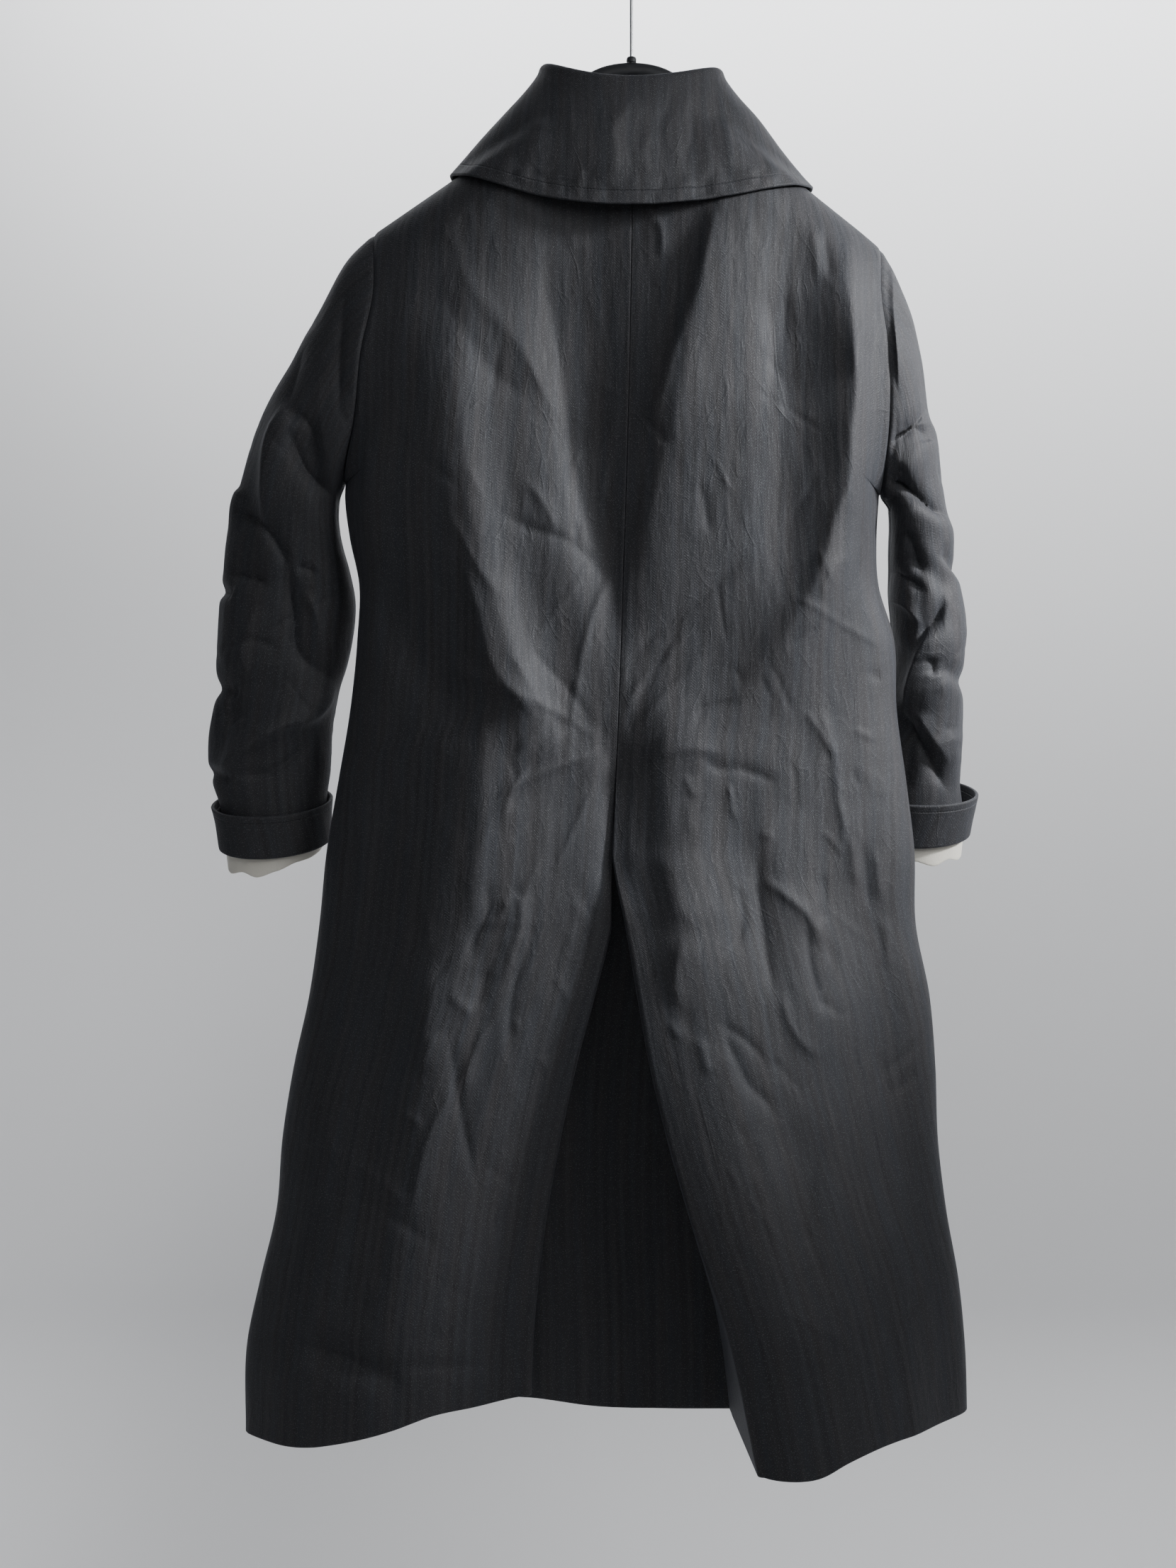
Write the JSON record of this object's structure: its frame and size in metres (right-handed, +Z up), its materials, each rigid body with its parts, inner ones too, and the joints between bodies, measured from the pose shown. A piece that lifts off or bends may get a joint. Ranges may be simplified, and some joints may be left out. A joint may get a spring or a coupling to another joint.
{
  "type": "long coat on a hanger",
  "caption": "Long coat of dark slubbed cloth with a large fold-over collar, an inverted back pleat and turned-up cuffs, hanging closed on a plastic hanger with a wire hook.",
  "frame": {"origin": "inner top of the hook's bend, where the rail that holds the hanger touches it", "axes": "+Z up, -Y out of the coat's back, +Y out of its front, +X towards the wearer's right arm"},
  "size_m": [0.6658, 0.2333, 1.2898],
  "materials": {
    "coat_cloth": "charcoal twill with slubs and light flecks, a little crushed",
    "sleeve_lining": "cream lining, smooth",
    "button": "dark horn look, satin",
    "black_plastic": "black, fine satin",
    "steel_wire": "drawn wire"
  },
  "bodies": {
    "root": {"back_left": "coat_cloth", "back_right": "coat_cloth", "pleat_underlay": "coat_cloth", "front_left": "coat_cloth", "front_right": "coat_cloth", "collar": "coat_cloth", "sleeve_back_left": "coat_cloth", "sleeve_front_left": "coat_cloth", "sleeve_back_right": "coat_cloth", "sleeve_front_right": "coat_cloth", "cuff_left": "coat_cloth", "cuff_right": "coat_cloth", "cuff_lining_left": "sleeve_lining", "cuff_lining_right": "sleeve_lining", "button_1": "button", "button_2": "button", "button_3": "button", "button_4": "button", "hanger": "black_plastic", "hanger_ferrule": "black_plastic", "hanger_hook": "steel_wire"}
  },
  "joints": []
}
